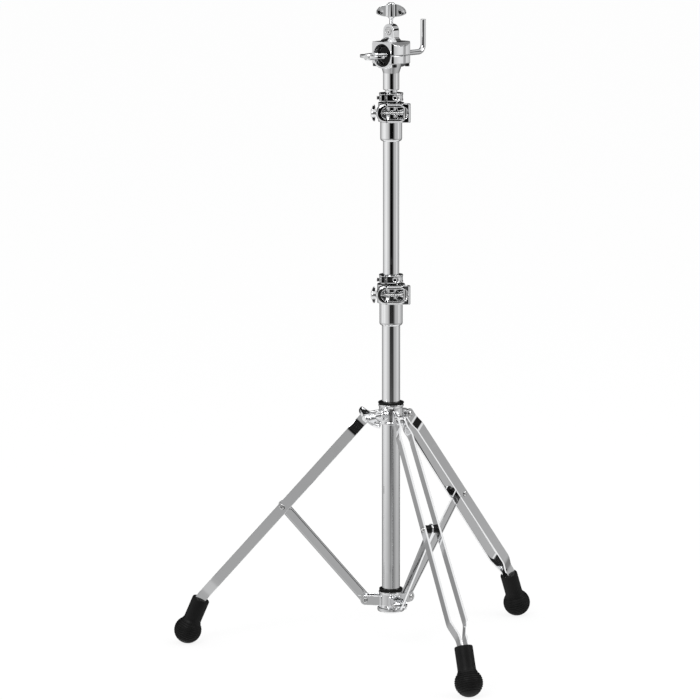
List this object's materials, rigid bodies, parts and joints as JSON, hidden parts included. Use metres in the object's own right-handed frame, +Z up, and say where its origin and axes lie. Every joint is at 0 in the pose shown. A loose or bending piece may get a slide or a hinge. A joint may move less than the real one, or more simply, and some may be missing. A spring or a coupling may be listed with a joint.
{
  "type": "single tom stand",
  "caption": "Folding tripod stand with a height-adjustable column and a tilting ball holder whose bent rod carries a drum.",
  "frame": {"origin": "on the floor, under the middle of the stand's footprint; the column stands 82.5 mm behind it", "axes": "+Z up along the column, -Y along the front leg, +X towards the right leg seen from the front"},
  "size_m": [0.6156, 0.5384, 1.0311],
  "materials": {
    "chrome": "bright chrome plate",
    "bright_steel": "bright zinc-plated steel",
    "black_rubber": "matt moulded rubber",
    "black_nylon": "satin moulded nylon"
  },
  "bodies": {
    "stand_base": {"base_tube": "chrome", "lower_collar": "chrome", "bottom_cap": "chrome", "collar_bumper": "black_rubber", "front_low_pin": "bright_steel", "left_low_pin": "bright_steel", "right_low_pin": "bright_steel", "lower_sleeve": "chrome", "lower_clamp": "chrome", "lower_clamp_bush": "black_nylon", "lower_clamp_bolt": "bright_steel"},
    "lower_wing_nut": {"lower_wing_nut": "chrome"},
    "lower_memory_ring": {"lower_memory_ring": "chrome"},
    "lower_memory_screw": {"lower_memory_screw": "bright_steel"},
    "hub": {"hub": "chrome", "hub_bush": "black_nylon"},
    "hub_wing_bolt": {"hub_wing_bolt": "chrome"},
    "middle_stage": {"middle_tube": "chrome", "upper_sleeve": "chrome", "upper_clamp": "chrome", "upper_clamp_bush": "black_nylon", "upper_clamp_bolt": "bright_steel"},
    "upper_wing_nut": {"upper_wing_nut": "chrome"},
    "upper_stage": {"upper_tube": "chrome", "upper_memory_ring": "chrome"},
    "upper_memory_screw": {"upper_memory_screw": "bright_steel"},
    "holder": {"holder_base": "chrome", "holder_cap": "chrome", "holder_barrel_nut": "bright_steel"},
    "holder_wing_bolt": {"holder_wing_bolt": "chrome"},
    "holder_ball": {"holder_ball": "black_nylon", "rod_collet": "black_nylon"},
    "ball_wing_screw": {"ball_wing_screw": "chrome"},
    "drum_rod": {"drum_rod": "chrome"},
    "front_brace": {"front_brace": "chrome"},
    "front_leg": {"front_leg_bar_a": "chrome", "front_leg_bar_b": "chrome", "front_mid_bush_a": "black_nylon", "front_mid_bush_b": "black_nylon", "front_mid_pin": "bright_steel", "front_top_pin": "bright_steel", "front_foot": "black_rubber"},
    "left_brace": {"left_brace": "chrome"},
    "left_leg": {"left_leg_bar_a": "chrome", "left_leg_bar_b": "chrome", "left_mid_bush_a": "black_nylon", "left_mid_bush_b": "black_nylon", "left_mid_pin": "bright_steel", "left_top_pin": "bright_steel", "left_foot": "black_rubber"},
    "right_brace": {"right_brace": "chrome"},
    "right_leg": {"right_leg_bar_a": "chrome", "right_leg_bar_b": "chrome", "right_mid_bush_a": "black_nylon", "right_mid_bush_b": "black_nylon", "right_mid_pin": "bright_steel", "right_top_pin": "bright_steel", "right_foot": "black_rubber"}
  },
  "joints": [
    {"name": "front_brace_fold", "type": "hinge", "parent": "stand_base", "child": "front_brace", "pos_m": [0, 0.0425, 0.082], "axis": [-1, 0, 0], "range_deg": [0, 38]},
    {"name": "front_leg_fold", "type": "hinge", "parent": "front_brace", "child": "front_leg", "pos_m": [0, -0.09079, 0.22977], "axis": [-1, 0, 0], "range_deg": [-76.5, 0.5]},
    {"name": "front_hub_fold", "type": "hinge", "parent": "front_leg", "child": "hub", "pos_m": [0, 0.0425, 0.37754], "axis": [-1, 0, 0], "range_deg": [-0.5, 38.5]},
    {"name": "left_brace_fold", "type": "hinge", "parent": "stand_base", "child": "left_brace", "pos_m": [-0.03464, 0.1025, 0.082], "axis": [0.5, 0.866, 0], "range_deg": [-0.5, 38.5]},
    {"name": "left_leg_fold", "type": "hinge", "parent": "left_brace", "child": "left_leg", "pos_m": [-0.15007, 0.16914, 0.22977], "axis": [0.5, 0.866, 0], "range_deg": [-76.5, 0.5]},
    {"name": "right_brace_fold", "type": "hinge", "parent": "stand_base", "child": "right_brace", "pos_m": [0.03464, 0.1025, 0.082], "axis": [0.5, -0.866, 0], "range_deg": [-0.5, 38.5]},
    {"name": "right_leg_fold", "type": "hinge", "parent": "right_brace", "child": "right_leg", "pos_m": [0.15007, 0.16914, 0.22977], "axis": [0.5, -0.866, 0], "range_deg": [-76.5, 0.5]},
    {"name": "hub_bolt_turn", "type": "hinge", "parent": "hub", "child": "hub_wing_bolt", "pos_m": [-0.03464, 0.0625, 0.38354], "axis": [-0.866, -0.5, 0], "continuous": true},
    {"name": "middle_slide", "type": "slide", "parent": "stand_base", "child": "middle_stage", "axis": [0, 0, 1], "range_m": [-0.205, 0.12]},
    {"name": "lower_memory_slide", "type": "slide", "parent": "stand_base", "child": "lower_memory_ring", "axis": [0, 0, 1], "range_m": [0, 0.2]},
    {"name": "lower_memory_screw_turn", "type": "hinge", "parent": "lower_memory_ring", "child": "lower_memory_screw", "pos_m": [-0.01615, 0.06862, 0.5988], "axis": [-0.9317, 0.3633, 0], "continuous": true},
    {"name": "lower_wing_nut_turn", "type": "hinge", "parent": "stand_base", "child": "lower_wing_nut", "pos_m": [-0.03529, 0.07458, 0.5749], "axis": [-0.9317, 0.3633, 0], "continuous": true},
    {"name": "upper_slide", "type": "slide", "parent": "middle_stage", "child": "upper_stage", "axis": [0, 0, 1], "range_m": [0, 0.2]},
    {"name": "upper_memory_screw_turn", "type": "hinge", "parent": "upper_stage", "child": "upper_memory_screw", "pos_m": [-0.01615, 0.06862, 0.8845], "axis": [-0.9317, 0.3633, 0], "continuous": true},
    {"name": "upper_wing_nut_turn", "type": "hinge", "parent": "middle_stage", "child": "upper_wing_nut", "pos_m": [-0.03471, 0.07607, 0.8606], "axis": [-0.9317, 0.3633, 0], "continuous": true},
    {"name": "holder_turn", "type": "hinge", "parent": "upper_stage", "child": "holder", "pos_m": [0, 0.0825, 0.9501], "axis": [0, 0, 1], "continuous": true},
    {"name": "holder_bolt_turn", "type": "hinge", "parent": "holder", "child": "holder_wing_bolt", "pos_m": [0, 0.0825, 0.9971], "axis": [0, 0, 1], "continuous": true},
    {"name": "ball_tilt", "type": "hinge", "parent": "holder", "child": "holder_ball", "pos_m": [0, 0.0825, 0.9501], "axis": [-0.4648, 0.8854, 0], "range_deg": [-20, 20]},
    {"name": "ball_screw_turn", "type": "hinge", "parent": "holder_ball", "child": "ball_wing_screw", "pos_m": [0, 0.0825, 0.9501], "axis": [-0.8854, -0.4648, 0], "continuous": true},
    {"name": "drum_rod_turn", "type": "hinge", "parent": "holder_ball", "child": "drum_rod", "pos_m": [0, 0.0825, 0.9501], "axis": [0.8854, 0.4648, 0], "continuous": true}
  ],
  "couplings": [
    {"joint": "front_leg_fold", "follows": "front_brace_fold", "ratio": -2},
    {"joint": "front_hub_fold", "follows": "front_brace_fold", "ratio": 1},
    {"joint": "left_brace_fold", "follows": "front_brace_fold", "ratio": 1},
    {"joint": "right_brace_fold", "follows": "front_brace_fold", "ratio": 1},
    {"joint": "left_leg_fold", "follows": "front_brace_fold", "ratio": -2},
    {"joint": "right_leg_fold", "follows": "front_brace_fold", "ratio": -2}
  ]
}
